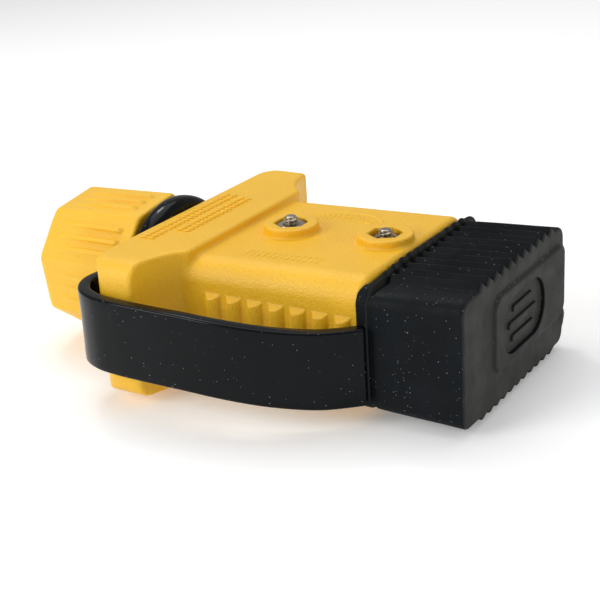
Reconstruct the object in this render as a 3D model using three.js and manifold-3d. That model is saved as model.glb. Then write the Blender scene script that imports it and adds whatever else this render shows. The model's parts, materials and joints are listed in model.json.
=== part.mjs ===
// Trailer power connector plug: a two-shell cable-mount housing around a two-pole genderless
// power connector, with a strapped rubber dust cap in front and a cable gland behind.
// Units are millimetres. +X is the mating direction, +Z is up, and the origin is in the middle
// of the flat underside of the pull wing. The collar and the gland nut are rounder than the wing
// is thick, so they reach 2 mm below that plane.
import * as THREE from 'three';
import { mergeVertices } from 'three/addons/utils/BufferGeometryUtils.js';
import Module from 'manifold-3d';

const wasm = await Module();
wasm.setup();

// ---------------------------------------------------------------- driving dimensions
const gap = 0.3; // clearance between pieces that touch
const partingGap = 0.15; // each shell stops this far from the parting plane

const wing = {
  back: -8.5, front: 7.7, endFront: 2.2, halfLength: 33.5, halfHeight: 14.6,
  backRadius: 5.5, nearEndRadius: 4.5, farEndRadius: 2, scoopStart: 21,
};
const midZ = wing.halfHeight; // height of the plug's axis above the wing's underside

// the underside of the body is level, and its top rises from the wing to the cap
const body = { front: 46.6, halfWidth: 22, halfHeight: 12.35, frontRise: 1.6, edgeRadius: 4.8 };
const boss = { radius: 5.65, rear: { x: 18.3, top: 29.6 }, front: { x: 40.1, top: 30.2 } };
const grip = {
  count: 7, firstCrest: 12.3, pitch: 4.88, rise: 0.9, flat: 0.4, fall: 2.3, proud: 1.15, halfHeight: 6.5,
};

const connector = { rear: 14.7, length: 47.8, width: 36.5, height: 15.9, cornerRadius: 1.6 };
const connectorFront = connector.rear + connector.length;
const chamber = { y: 9.3, width: 12.2, top: 6.1, bottom: -5.7, tongueStart: 38, tongueTop: -1.3 };
const contact = {
  barrelRadius: 4.2, barrelBore: 3.2, barrelStart: 17.5, barrelEnd: 31, bladeEnd: 60,
  bladeWidth: 9.4, bladeBottom: -0.3, bladeTop: 1.1, tipDrop: 0.35,
};
const leaf = { start: 41, end: 57, width: 6, thickness: 0.35, rise: 0.55 };

const screw = { radius: 1.5, headRadius: 2.8, headHeight: 2.1, headZ: 1.0, tip: 30.9 };
const washer = { inner: 1.8, outer: 2.7, thickness: 0.8 };
const nut = { acrossFlats: 5.5, thickness: 2.4, bore: 1.8, pocketAcrossFlats: 6.2, pocketFloor: 26.6 };
const screwHole = 1.85;
const counterbore = { radius: 3.2, depth: 4.6 };

const cap = {
  rim: body.front + gap, end: 67.3, nearY: -22.5, farY: 24.9, halfHeight: 11.8, cornerRadius: 2.6,
  lipEnd: 48.0, lipProud: 0.8, grooveEnd: 48.8, grooveDepth: 0.8,
  endRise: 1.1, endDrop: 0.6, // how much the cap grows in height from its rim to its end
};
const capRib = { count: 11, start: -15.3, pitch: 3.25, steepShare: 0.34, top: 1.5, bottom: 0.9 };
const pullPad = { nearY: -10, farY: 24.2, z: 1.4, halfHeight: 7, radius: 3, proud: 0.7 };
const medallion = { y: 3.3, z: 1.2, halfHeight: 5.3, halfWidth: 10, radius: 5.2, depth: 0.8 };

const neck = { radius: 11.3, bore: 9.2, end: -31, flange: 25, flangeBack: -4.6, flangeFront: -2.5 };
const flangePocket = { back: -6.6, front: -2.2, size: 25.6 };
const collar = { inner: 11.7, outer: 16.6, back: -13.8, front: -8.8 };
const oRing = { major: 12.1, minor: 0.55, x: -5.6 };
const glandNut = {
  front: -14.5, back: -37.5, dome: -41.5, frontRadius: 16.6, backRadius: 15.7, domeRadius: 10.8,
  bore: 11.65, boreEnd: -33.5, exit: 7.4, ribs: 3, ribProud: 0.45, ribWidth: 0.8, turn: 75,
};
const seal = { inner: 5.9, outer: 7.5, back: -32.5, front: -18 };
const claw = { inner: 7.8, outer: 8.9, back: -33.0, front: -17, slots: 8, slotWidth: 1, slotEnd: -25 };
const thrust = { inner: 7.6, outer: 9.6, back: -36, front: -33.8 };

const strap = {
  thickness: 2.6, width: 15.6,
  // the strap runs level round the wing and comes down to the cap by this much
  drop: 2, dropStart: 12, dropEnd: 46,
  // centre line from the cap's rim to the collar, seen from above
  route: [
    [46.6, -24.0], [44.2, -26.1], [41.0, -28.6], [36.0, -31.1], [30.0, -33.3], [22.0, -35.0], [13.5, -35.6],
    [5.0, -35.6], [-1.0, -35.4], [-6.2, -34.6], [-10.6, -32.2], [-13.0, -28.4], [-13.2, -24.8],
    [-12.0, -20.8], [-11.4, -17.5], [-11.3, -15.5],
  ],
  steps: 48,
};

// ---------------------------------------------------------------- materials
function finish(color, roughness, metalness) {
  return new THREE.MeshStandardMaterial({ color, roughness, metalness });
}
const yellowNylon = finish(0xf5b731, 0.55, 0);
const blackRubber = finish(0x1b1c1e, 0.6, 0);
const glossRubber = finish(0x121315, 0.3, 0);
const greyPlastic = finish(0x85888b, 0.5, 0);
const blackPlastic = finish(0x26272a, 0.45, 0);
const steel = finish(0xb4b3ae, 0.3, 1);
const silverPlate = finish(0xd2cfc6, 0.3, 1);

// ---------------------------------------------------------------- solids
function signedVolume(positions, index) {
  const [a, b, c] = [new THREE.Vector3(), new THREE.Vector3(), new THREE.Vector3()];
  let volume = 0;
  for (let i = 0; i < index.length; i += 3) {
    a.fromArray(positions, 3 * index[i]);
    b.fromArray(positions, 3 * index[i + 1]);
    c.fromArray(positions, 3 * index[i + 2]);
    volume += a.dot(b.cross(c)) / 6;
  }
  return volume;
}

// A closed three.js geometry as a solid, with its faces turned outwards.
function solidFrom(geometry) {
  const bare = geometry.clone();
  bare.deleteAttribute('normal');
  bare.deleteAttribute('uv');
  const merged = mergeVertices(bare, 1e-4);
  const vertProperties = Float32Array.from(merged.attributes.position.array);
  const triVerts = Uint32Array.from(merged.index.array);
  if (signedVolume(vertProperties, triVerts) < 0) {
    for (let i = 0; i < triVerts.length; i += 3) {
      [triVerts[i], triVerts[i + 1]] = [triVerts[i + 1], triVerts[i]];
    }
  }
  return new wasm.Manifold(new wasm.Mesh({ numProp: 3, vertProperties, triVerts }));
}

const alongX = new THREE.Matrix4().makeBasis(
  new THREE.Vector3(0, 1, 0), new THREE.Vector3(0, 0, 1), new THREE.Vector3(1, 0, 0));
const latheToX = new THREE.Matrix4().makeBasis(
  new THREE.Vector3(0, 0, 1), new THREE.Vector3(1, 0, 0), new THREE.Vector3(0, 1, 0));

// A box between two corners; z is counted from the wing's underside.
function box(low, high) {
  const size = high.map((value, i) => value - low[i]);
  const centre = high.map((value, i) => (value + low[i]) / 2);
  return solidFrom(new THREE.BoxGeometry(...size).translate(...centre));
}

// An outline in (y, z about the axis), extruded along X.
function prismX(shape, from, to, curveSegments = 6) {
  const geometry = new THREE.ExtrudeGeometry(shape, { depth: to - from, bevelEnabled: false, curveSegments });
  return solidFrom(geometry.applyMatrix4(alongX).translate(from, 0, midZ));
}

// An outline in (x, y), extruded up from one height to another.
function prismZ(shape, from, to, curveSegments = 6) {
  const geometry = new THREE.ExtrudeGeometry(shape, { depth: to - from, bevelEnabled: false, curveSegments });
  return solidFrom(geometry.translate(0, 0, from));
}

// A profile of [radius, x] points that closes on itself, turned about the plug's axis.
function turned(profile, segments = 32) {
  const points = [...profile, profile[0]].map(([radius, x]) => new THREE.Vector2(radius, x));
  const geometry = new THREE.LatheGeometry(points, segments).applyMatrix4(latheToX);
  return solidFrom(geometry.translate(0, 0, midZ));
}

// An upright cylinder, or hexagon when segments is 6, standing at (x, y).
function postZ(x, y, radius, from, to, segments = 24) {
  const geometry = new THREE.CylinderGeometry(radius, radius, to - from, segments);
  return solidFrom(geometry.rotateX(Math.PI / 2).translate(x, y, (from + to) / 2));
}

// A rod along X at (y, z about the axis).
function rodX(y, z, radius, from, to, segments = 32) {
  const geometry = new THREE.CylinderGeometry(radius, radius, to - from, segments).rotateZ(Math.PI / 2);
  return solidFrom(geometry.translate((from + to) / 2, y, midZ + z));
}

// The same, but its top and its underside lift by their own amounts between the two ends.
function slopedPrismX(shape, halfHeight, from, to, lift, curveSegments = 6) {
  const geometry = new THREE.ExtrudeGeometry(shape, { depth: to - from, bevelEnabled: false, curveSegments });
  geometry.applyMatrix4(alongX);
  const corners = geometry.attributes.position;
  for (let i = 0; i < corners.count; i += 1) {
    const height = corners.getZ(i);
    const [rearLift, frontLift] = height > 0 ? lift.top : lift.bottom;
    const share = corners.getX(i) / (to - from);
    const raise = THREE.MathUtils.lerp(rearLift, frontLift, share) * Math.abs(height / halfHeight);
    corners.setZ(i, height + raise);
  }
  return solidFrom(geometry.translate(from, 0, midZ));
}

const join = (solids) => solids.reduce((sum, solid) => sum.add(solid));
const cutAll = (solid, tools) => tools.reduce((rest, tool) => rest.subtract(tool), solid);

// A rectangle with rounded corners; the two on its far side may have a radius of their own.
function roundedRect(halfWidth, halfHeight, radius, farRadius = radius) {
  const shape = new THREE.Shape();
  shape.moveTo(-halfWidth + radius, -halfHeight);
  shape.lineTo(halfWidth - farRadius, -halfHeight);
  shape.absarc(halfWidth - farRadius, -halfHeight + farRadius, farRadius, -Math.PI / 2, 0);
  shape.lineTo(halfWidth, halfHeight - farRadius);
  shape.absarc(halfWidth - farRadius, halfHeight - farRadius, farRadius, 0, Math.PI / 2);
  shape.lineTo(-halfWidth + radius, halfHeight);
  shape.absarc(-halfWidth + radius, halfHeight - radius, radius, Math.PI / 2, Math.PI);
  shape.lineTo(-halfWidth, -halfHeight + radius);
  shape.absarc(-halfWidth + radius, -halfHeight + radius, radius, Math.PI, 1.5 * Math.PI);
  return shape;
}

// ---------------------------------------------------------------- yellow shells
// The pull wing seen from above: rounded back corners and a finger scoop on each front side.
function wingOutline() {
  const { back, front, endFront, halfLength, backRadius, scoopStart } = wing;
  const endRound = 1.4;
  const shape = new THREE.Shape();
  shape.moveTo(back, halfLength - backRadius);
  shape.lineTo(back, -halfLength + backRadius);
  shape.absarc(back + backRadius, -halfLength + backRadius, backRadius, Math.PI, 1.5 * Math.PI);
  shape.lineTo(endFront - endRound, -halfLength);
  shape.quadraticCurveTo(endFront, -halfLength, endFront, -halfLength + endRound);
  shape.quadraticCurveTo(endFront + 1.6, -scoopStart - 3.4, front, -scoopStart);
  shape.lineTo(front, scoopStart);
  shape.quadraticCurveTo(endFront + 1.6, scoopStart + 3.4, endFront, halfLength - endRound);
  shape.quadraticCurveTo(endFront, halfLength, endFront - endRound, halfLength);
  shape.lineTo(back + backRadius, halfLength);
  shape.absarc(back + backRadius, halfLength - backRadius, backRadius, Math.PI / 2, Math.PI);
  return shape;
}

function wingSolid() {
  const upright = prismZ(wingOutline(), 0, 2 * wing.halfHeight);
  const section = roundedRect(wing.halfLength, wing.halfHeight, wing.nearEndRadius, wing.farEndRadius);
  return upright.intersect(prismX(section, wing.back - 1, wing.front + 1));
}

// One grip rib on the side that `side` (1 or -1) names: a steep back and a rounded front.
function gripRib(index, side) {
  const crest = grip.firstCrest + index * grip.pitch;
  const foot = crest + grip.flat + grip.fall;
  const across = (proud) => side * (body.halfWidth + proud);
  const shape = new THREE.Shape();
  shape.moveTo(crest - grip.rise, across(-1));
  shape.lineTo(crest - grip.rise, across(0.1));
  shape.lineTo(crest, across(grip.proud));
  shape.lineTo(crest + grip.flat, across(grip.proud));
  shape.quadraticCurveTo(crest + grip.flat + grip.fall / 2, across(grip.proud), foot, across(0));
  shape.lineTo(foot, across(-1));
  return prismZ(shape, midZ - grip.halfHeight, midZ + grip.halfHeight, 4);
}

function housingBlank() {
  const section = roundedRect(body.halfWidth, body.halfHeight, body.edgeRadius);
  const lift = { top: [0, body.frontRise], bottom: [0, 0] };
  const pieces = [slopedPrismX(section, body.halfHeight, 0, body.front, lift), wingSolid()];
  for (const { x, top } of [boss.rear, boss.front]) {
    pieces.push(postZ(x, 0, boss.radius, midZ + body.halfHeight - 1, top));
    pieces.push(postZ(x, 0, boss.radius, 0, midZ - body.halfHeight + 1));
  }
  for (let i = 0; i < grip.count; i += 1) {
    pieces.push(gripRib(i, 1), gripRib(i, -1));
  }
  return join(pieces);
}

// What both shells are hollowed by, from the connector's seat back to the gland's hole.
function housingCavities() {
  const seat = { halfWidth: connector.width / 2 + gap, halfHeight: connector.height / 2 + gap };
  const tools = [
    prismX(roundedRect(seat.halfWidth, seat.halfHeight, connector.cornerRadius), connector.rear - gap, 60),
    box([-0.2, -15, midZ - 7.6], [connector.rear, 15, midZ + 7.6]),
    rodX(0, 0, 10, flangePocket.front - 1, 1),
    box([flangePocket.back, -flangePocket.size / 2, midZ - flangePocket.size / 2],
      [flangePocket.front, flangePocket.size / 2, midZ + flangePocket.size / 2]),
    rodX(0, 0, neck.radius + gap, wing.back - 1, flangePocket.back + 1),
  ];
  for (const { x, top } of [boss.rear, boss.front]) {
    tools.push(postZ(x, 0, screwHole, -1, top + 1, 16));
    tools.push(postZ(x, 0, counterbore.radius, -1, counterbore.depth));
    tools.push(postZ(x, 0, nut.pocketAcrossFlats / Math.sqrt(3), nut.pocketFloor, top + 1, 6));
  }
  return tools;
}

const reach = 100; // larger than the plug every way
const hollowHousing = cutAll(housingBlank(), housingCavities());
const upperShell = hollowHousing.intersect(box([-reach, -reach, midZ + partingGap], [reach, reach, reach]));
const lowerShell = hollowHousing.intersect(box([-reach, -reach, -1], [reach, reach, midZ - partingGap]));

// ---------------------------------------------------------------- power connector
function connectorHousing() {
  const section = roundedRect(connector.width / 2, connector.height / 2, connector.cornerRadius);
  const tools = [];
  for (const side of [1, -1]) {
    const y0 = side * chamber.y - chamber.width / 2;
    const y1 = side * chamber.y + chamber.width / 2;
    const top = midZ + chamber.top;
    tools.push(
      box([connector.rear - 1, y0, midZ + chamber.bottom], [chamber.tongueStart, y1, top]),
      box([chamber.tongueStart - 1, y0, midZ + chamber.tongueTop], [connectorFront + 1, y1, top]),
    );
  }
  for (const { x } of [boss.rear, boss.front]) {
    tools.push(postZ(x, 0, screwHole, -1, 2 * midZ + 1, 16));
  }
  return cutAll(prismX(section, connector.rear, connectorFront), tools);
}

// Crimp barrel open at the back, running into a flat blade with a turned-down tip.
function contactSolid(side) {
  const y = side * chamber.y;
  const { barrelStart, barrelEnd, bladeEnd, bladeWidth, bladeBottom, bladeTop } = contact;
  const tipBottom = bladeBottom - contact.tipDrop;
  const barrel = rodX(y, 0, contact.barrelRadius, barrelStart, barrelEnd);
  const bore = rodX(y, 0, contact.barrelBore, barrelStart - 1, barrelEnd - 2.5);
  const profile = new THREE.Shape();
  profile.moveTo(barrelEnd - 2, bladeBottom);
  profile.lineTo(bladeEnd - 2.2, bladeBottom);
  profile.lineTo(bladeEnd - 0.6, tipBottom);
  profile.quadraticCurveTo(bladeEnd, tipBottom, bladeEnd, tipBottom + 0.6);
  profile.lineTo(bladeEnd - 2.4, bladeTop);
  profile.lineTo(barrelEnd - 2, bladeTop);
  const blade = new THREE.ExtrudeGeometry(profile, {
    depth: bladeWidth, bevelEnabled: false, curveSegments: 4,
  });
  blade.rotateX(Math.PI / 2).translate(0, y + bladeWidth / 2, midZ);
  return barrel.subtract(bore).add(solidFrom(blade));
}

// A bowed strip that lies on the tongue under the blade.
function leafSpring(side) {
  const floor = chamber.tongueTop + 0.1;
  const middle = (leaf.start + leaf.end) / 2;
  const shape = new THREE.Shape();
  shape.moveTo(leaf.start, floor);
  shape.quadraticCurveTo(middle, floor + 2 * leaf.rise - leaf.thickness, leaf.end, floor);
  shape.lineTo(leaf.end, floor + leaf.thickness);
  shape.quadraticCurveTo(middle, floor + 2 * leaf.rise, leaf.start, floor + leaf.thickness);
  const strip = new THREE.ExtrudeGeometry(shape, {
    depth: leaf.width, bevelEnabled: false, curveSegments: 8,
  });
  strip.rotateX(Math.PI / 2).translate(0, side * chamber.y + leaf.width / 2, midZ);
  return solidFrom(strip);
}

// ---------------------------------------------------------------- fasteners
const headTop = screw.headZ + screw.headHeight;
const nutFloor = nut.pocketFloor + gap;

function screwSolid(x) {
  const shank = postZ(x, 0, screw.radius, headTop - 0.5, screw.tip, 16);
  const drive = postZ(x, 0, 0.9, screw.headZ - 1, screw.headZ + 1.1, 6);
  return postZ(x, 0, screw.headRadius, screw.headZ, headTop).add(shank).subtract(drive);
}

function washerSolid(x) {
  const from = headTop + gap;
  const ring = postZ(x, 0, washer.outer, from, from + washer.thickness);
  return ring.subtract(postZ(x, 0, washer.inner, from - 1, from + washer.thickness + 1, 16));
}

function nutSolid(x) {
  const hexagon = postZ(x, 0, nut.acrossFlats / Math.sqrt(3), nutFloor, nutFloor + nut.thickness, 6);
  return hexagon.subtract(postZ(x, 0, nut.bore, nutFloor - 1, nutFloor + nut.thickness + 1, 16));
}

// ---------------------------------------------------------------- dust cap, strap and collar
// The cap's cross-section: plain rounded corners, and saw-tooth ribs across the top and bottom
// that stop short of the strap's side.
function capOutline() {
  const { nearY, farY, halfHeight, cornerRadius } = cap;
  const ribsEnd = capRib.start + capRib.count * capRib.pitch;
  const steep = capRib.steepShare * capRib.pitch;
  const shape = new THREE.Shape();
  shape.moveTo(nearY + cornerRadius, -halfHeight);
  for (let y = capRib.start, i = 0; i < capRib.count; i += 1, y += capRib.pitch) {
    shape.lineTo(y, -halfHeight);
    shape.lineTo(y + capRib.pitch - steep, -halfHeight - capRib.bottom);
  }
  shape.lineTo(ribsEnd, -halfHeight);
  shape.absarc(farY - cornerRadius, -halfHeight + cornerRadius, cornerRadius, -Math.PI / 2, 0);
  shape.absarc(farY - cornerRadius, halfHeight - cornerRadius, cornerRadius, 0, Math.PI / 2);
  for (let y = ribsEnd, i = 0; i < capRib.count; i += 1, y -= capRib.pitch) {
    shape.lineTo(y, halfHeight);
    shape.lineTo(y - capRib.pitch + steep, halfHeight + capRib.top);
  }
  shape.lineTo(capRib.start, halfHeight);
  shape.absarc(nearY + cornerRadius, halfHeight - cornerRadius, cornerRadius, Math.PI / 2, Math.PI);
  shape.absarc(nearY + cornerRadius, -halfHeight + cornerRadius, cornerRadius, Math.PI, 1.5 * Math.PI);
  return shape;
}

// A plain slice of the cap, grown outwards by `proud`.
function capSlice(from, to, proud) {
  const halfWidth = (cap.farY - cap.nearY) / 2 + proud;
  const section = roundedRect(halfWidth, cap.halfHeight + proud, cap.cornerRadius);
  return prismX(section, from, to).translate(0, (cap.farY + cap.nearY) / 2, 0);
}

function dustCap() {
  const pocket = roundedRect(connector.width / 2 + gap, connector.height / 2 + gap, connector.cornerRadius);
  const pad = roundedRect((pullPad.farY - pullPad.nearY) / 2, pullPad.halfHeight, pullPad.radius);
  const padFace = cap.end + pullPad.proud;
  const padSolid = prismX(pad, cap.end - 1, padFace)
    .translate(0, (pullPad.farY + pullPad.nearY) / 2, pullPad.z);
  const recess = roundedRect(medallion.halfWidth, medallion.halfHeight, medallion.radius);
  const recessSolid = prismX(recess, padFace - medallion.depth, padFace + 1)
    .translate(0, medallion.y, medallion.z);
  const lift = { top: [0, cap.endRise], bottom: [0, -cap.endDrop] };
  return slopedPrismX(capOutline(), cap.halfHeight, cap.grooveEnd, cap.end, lift)
    .add(capSlice(cap.rim, cap.lipEnd, cap.lipProud))
    .add(capSlice(cap.lipEnd - 0.1, cap.grooveEnd + 0.1, -cap.grooveDepth))
    .add(padSolid)
    .subtract(prismX(pocket, cap.rim - 1, connectorFront + gap))
    .subtract(recessSolid);
}

// A flat strip set on edge along its route; its last stretch is cut to the collar's outside.
function capStrap() {
  const curve = new THREE.CatmullRomCurve3(strap.route.map(([x, y]) => new THREE.Vector3(x, y, 0)));
  const inner = [];
  const outer = [];
  for (let i = 0; i <= strap.steps; i += 1) {
    const point = curve.getPointAt(i / strap.steps);
    const tangent = curve.getTangentAt(i / strap.steps);
    const normal = new THREE.Vector2(-tangent.y, tangent.x).multiplyScalar(strap.thickness / 2);
    outer.push(new THREE.Vector2(point.x + normal.x, point.y + normal.y));
    inner.unshift(new THREE.Vector2(point.x - normal.x, point.y - normal.y));
  }
  const strip = new THREE.ExtrudeGeometry(new THREE.Shape([...outer, ...inner]), {
    depth: strap.width, bevelEnabled: false,
  }).translate(0, 0, midZ - strap.width / 2);
  const corners = strip.attributes.position;
  for (let i = 0; i < corners.count; i += 1) {
    const share = THREE.MathUtils.smoothstep(corners.getX(i), strap.dropStart, strap.dropEnd);
    corners.setZ(i, corners.getZ(i) - strap.drop * share);
  }
  return solidFrom(strip).subtract(rodX(0, 0, collar.outer + gap, collar.back - 4, collar.front + 0.4, 48));
}

function strapCollar() {
  const section = [];
  const radial = (collar.outer - collar.inner) / 2;
  const axial = (collar.front - collar.back) / 2;
  const sides = 14;
  for (let i = 0; i < sides; i += 1) {
    const angle = (2 * Math.PI * i) / sides;
    const squared = (value) => Math.sign(value) * Math.abs(value) ** 0.75;
    const radius = collar.inner + radial + radial * squared(Math.cos(angle));
    section.push([radius, collar.back + axial + axial * squared(Math.sin(angle))]);
  }
  return turned(section, 40);
}

// ---------------------------------------------------------------- cable gland
function glandBody() {
  const half = neck.flange / 2;
  const flange = box([neck.flangeBack, -half, midZ - half], [neck.flangeFront, half, midZ + half]);
  return rodX(0, 0, neck.radius, neck.end, neck.flangeFront)
    .add(flange)
    .subtract(rodX(0, 0, neck.bore, neck.end - 1, claw.front + gap))
    .subtract(rodX(0, 0, seal.outer, neck.end - 1, neck.flangeFront + 1));
}

function ring(inner, outer, back, front, segments = 32) {
  return turned([[inner, back], [outer, back], [outer, front], [inner, front]], segments);
}

function oRingSolid() {
  const section = [];
  for (let i = 0; i < 10; i += 1) {
    const angle = (2 * Math.PI * i) / 10;
    section.push([oRing.major + oRing.minor * Math.cos(angle), oRing.x + oRing.minor * Math.sin(angle)]);
  }
  return turned(section, 32);
}

// The clamping sleeve: slots from its back end leave spring fingers round the seal.
function glandClaw() {
  const tools = [];
  for (let i = 0; i < claw.slots / 2; i += 1) {
    const blade = new THREE.BoxGeometry(claw.slotEnd - claw.back + 1, 2 * claw.outer + 2, claw.slotWidth);
    blade.rotateX((2 * Math.PI * (i + 0.5)) / claw.slots);
    blade.translate((claw.slotEnd + claw.back - 1) / 2, 0, midZ);
    tools.push(solidFrom(blade));
  }
  return cutAll(ring(claw.inner, claw.outer, claw.back, claw.front), tools);
}

// An eight-sided hollow nut with a domed back and three grip ribs on each flat.
function glandNutSolid() {
  const { front, back, dome, frontRadius, backRadius, domeRadius, bore, boreEnd, exit } = glandNut;
  const turn = THREE.MathUtils.degToRad(glandNut.turn);
  const barrel = new THREE.CylinderGeometry(frontRadius, backRadius, front - back, 8);
  const cone = new THREE.CylinderGeometry(backRadius, domeRadius, back - dome, 8);
  const place = (geometry, middle) => geometry
    .rotateZ(-Math.PI / 2)
    .rotateX(turn - Math.PI / 2)
    .translate(middle, 0, midZ);
  const pieces = [
    solidFrom(place(barrel, (front + back) / 2)),
    solidFrom(place(cone, (back + dome) / 2)),
  ];
  const apothem = Math.cos(Math.PI / 8);
  const slope = Math.atan2((frontRadius - backRadius) * apothem, front - back);
  const flatRadius = ((frontRadius + backRadius) / 2) * apothem;
  for (let facet = 0; facet < 8; facet += 1) {
    for (let i = 0; i < glandNut.ribs; i += 1) {
      const offset = (i - (glandNut.ribs - 1) / 2) * 2.9;
      const ridge = new THREE.BoxGeometry(front - back - 6, glandNut.ribWidth, 2 * glandNut.ribProud);
      ridge.rotateY(-slope).translate((front + back) / 2 - 0.6, offset, flatRadius);
      ridge.rotateX(turn + ((facet + 0.5) * Math.PI) / 4 - Math.PI / 2).translate(0, 0, midZ);
      pieces.push(solidFrom(ridge));
    }
  }
  const inside = turned([
    [0.01, dome - 1], [exit, dome - 1], [exit, thrust.back - gap], [thrust.outer + gap, thrust.back - gap],
    [thrust.outer + gap, boreEnd], [bore, boreEnd], [bore, front + 1], [0.01, front + 1],
  ], 32);
  return join(pieces).subtract(inside).subtract(rodX(0, 0, exit - 1, dome - 1, front + 1));
}

// ---------------------------------------------------------------- assembly
function mesh(name, solid, material) {
  const { vertProperties, triVerts } = solid.getMesh();
  const geometry = new THREE.BufferGeometry();
  geometry.setAttribute('position', new THREE.BufferAttribute(vertProperties, 3));
  geometry.setIndex(new THREE.BufferAttribute(triVerts, 1));
  geometry.computeVertexNormals();
  const result = new THREE.Mesh(geometry, material);
  result.name = name;
  return result;
}

const plug = new THREE.Group();
plug.name = 'trailer_power_connector_plug';
plug.add(
  mesh('upper_shell', upperShell, yellowNylon),
  mesh('lower_shell', lowerShell, yellowNylon),
  mesh('connector_housing', connectorHousing(), greyPlastic),
  mesh('dust_cap', dustCap(), blackRubber),
  mesh('cap_strap', capStrap(), glossRubber),
  mesh('strap_collar', strapCollar(), glossRubber),
  mesh('gland_body', glandBody(), blackPlastic),
  mesh('gland_o_ring', oRingSolid(), blackRubber),
  mesh('gland_seal', ring(seal.inner, seal.outer - gap, seal.back, seal.front), blackRubber),
  mesh('gland_claw', glandClaw(), blackPlastic),
  mesh('thrust_ring', ring(thrust.inner, thrust.outer, thrust.back, thrust.front), blackPlastic),
  mesh('gland_nut', glandNutSolid(), yellowNylon),
);
for (const [name, side] of [['positive', 1], ['negative', -1]]) {
  plug.add(mesh(`contact_${name}`, contactSolid(side), silverPlate));
  plug.add(mesh(`contact_spring_${name}`, leafSpring(side), steel));
}
for (const [name, x] of [['front', boss.front.x], ['rear', boss.rear.x]]) {
  plug.add(mesh(`screw_${name}`, screwSolid(x), steel));
  plug.add(mesh(`spring_washer_${name}`, washerSolid(x), steel));
  plug.add(mesh(`nut_${name}`, nutSolid(x), steel));
}

export default plug;
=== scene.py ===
"""Looks for the trailer power connector plug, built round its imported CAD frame.

Lengths in this script are millimetres until a mesh is made; Blender works in metres. The frame is
the CAD's: +X is the mating direction, +Z is up and the origin is under the middle of the wing.
"""
import functools
import json
import math
from types import SimpleNamespace as Sizes

import bpy
import numpy as np
from mathutils import Matrix, Vector


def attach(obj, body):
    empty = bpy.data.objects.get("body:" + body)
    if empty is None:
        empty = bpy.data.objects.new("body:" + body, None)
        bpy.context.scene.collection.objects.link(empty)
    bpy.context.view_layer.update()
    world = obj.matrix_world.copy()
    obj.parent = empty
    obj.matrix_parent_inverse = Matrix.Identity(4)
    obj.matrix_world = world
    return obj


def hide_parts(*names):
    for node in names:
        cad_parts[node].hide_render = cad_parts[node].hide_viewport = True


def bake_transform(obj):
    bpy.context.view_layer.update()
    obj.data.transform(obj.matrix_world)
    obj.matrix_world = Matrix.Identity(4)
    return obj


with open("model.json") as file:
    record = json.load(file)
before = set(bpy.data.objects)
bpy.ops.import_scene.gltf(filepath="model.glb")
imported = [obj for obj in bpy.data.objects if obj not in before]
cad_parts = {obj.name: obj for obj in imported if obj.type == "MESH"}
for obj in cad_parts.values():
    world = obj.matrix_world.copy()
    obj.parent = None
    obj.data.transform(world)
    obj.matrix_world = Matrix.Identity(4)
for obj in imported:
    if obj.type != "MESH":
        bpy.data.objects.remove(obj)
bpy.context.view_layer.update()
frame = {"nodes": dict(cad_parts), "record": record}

MM = 0.001
MID_Z = 14.6  # height of the plug's axis
SHELL_STEP, CAP_STEP = 0.34, 0.28  # spacing of the points on the shells and on the cap

# ---------------- driving dimensions, as in the CAD
WING = Sizes(back=-8.5, front=7.7, end_front=2.2, half_length=33.5, half_height=14.6, edge_radius=1.0,
             back_radius=5.5, near_end_radius=4.5, far_end_radius=2.0, scoop_start=21.0)
BODY = Sizes(front=46.6, half_width=22.0, half_height=12.35, front_rise=1.6, edge_radius=4.8, fold=1.4)
BOSS_RADIUS = 5.65
BOSSES = {"rear": (18.3, 29.6), "front": (40.1, 30.2)}  # place along the plug and height of the top
GRIP = Sizes(count=7, first=12.3, pitch=4.88, rise=0.9, flat=0.4, fall=2.3, proud=1.15, half_height=6.5)
SEAT = Sizes(rear=14.4, half_width=18.55, half_height=8.25, radius=1.6)
SPLICE = Sizes(rear=-0.2, overlap=0.5, half_width=15.0, half_height=7.6, radius=0.8)
CLAW_SPACE = Sizes(x=-1.1, half_length=2.1, radius=10.0)
FLANGE_SPACE = Sizes(x=-4.4, half_length=2.2, half_width=12.8, radius=0.8)
NECK_BORE = Sizes(front=-5.6, radius=11.6)
HALF_PARTING_GAP = 0.15
MOULD_EDGE = 0.3  # rounding of the shells' inner and parting edges
FASTENER = Sizes(hole=1.85, head_bore=3.2, head_bore_top=4.6, pocket_flats=6.2)
SCREW = Sizes(radius=1.5, root=1.0, pitch=0.6, tip_z=30.9, head_z=1.0, head_height=2.1, head_radius=2.8)
NUT = Sizes(across_flats=5.5, floor_z=26.9, pocket_z=26.6, thickness=2.4, bore=1.56)
WASHER = Sizes(z=3.4, thickness=0.55, inner=1.8, outer=2.7, spring=0.22)
CAP = Sizes(rim=46.9, end=67.3, near_y=-22.5, far_y=24.9, half_height=11.8, radius=2.6, lip_end=48.0,
            lip_proud=0.8, lip_reach=1.3, crown=1.0, end_rise=1.1, end_drop=0.6, groove_x=48.4,
            groove_half_width=0.7, groove_end=48.8, groove_depth=0.8, cavity_end=62.8)
CAP_RIB = Sizes(count=11, first=-14.195, pitch=3.25, steep=1.105, top=1.5, bottom=0.9, tip=0.12, root=1.0)
CAP_SIDE = Sizes(hollow_radius=30.0, hollow_depth=0.8, hollow_z=1.4,
                 ridge_levels=(5.8, -6.6), ridge_radius=1.5, ridge_x=61.0, ridge_half_length=6.3)
LIP_BUMP = Sizes(x=47.8, half_width=0.9, half_height=0.75, level=12.3, uneven=0.25)
PAD = Sizes(near_y=-10.0, far_y=24.2, z=1.4, half_height=7.0, radius=3.0, proud=0.7)
RECESS = Sizes(y=3.3, z=1.2, half_width=10.0, half_height=5.3, radius=5.2, depth=0.8,
               bar_half_height=0.62, bar_radius=0.6, bar_proud=0.55)
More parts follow.
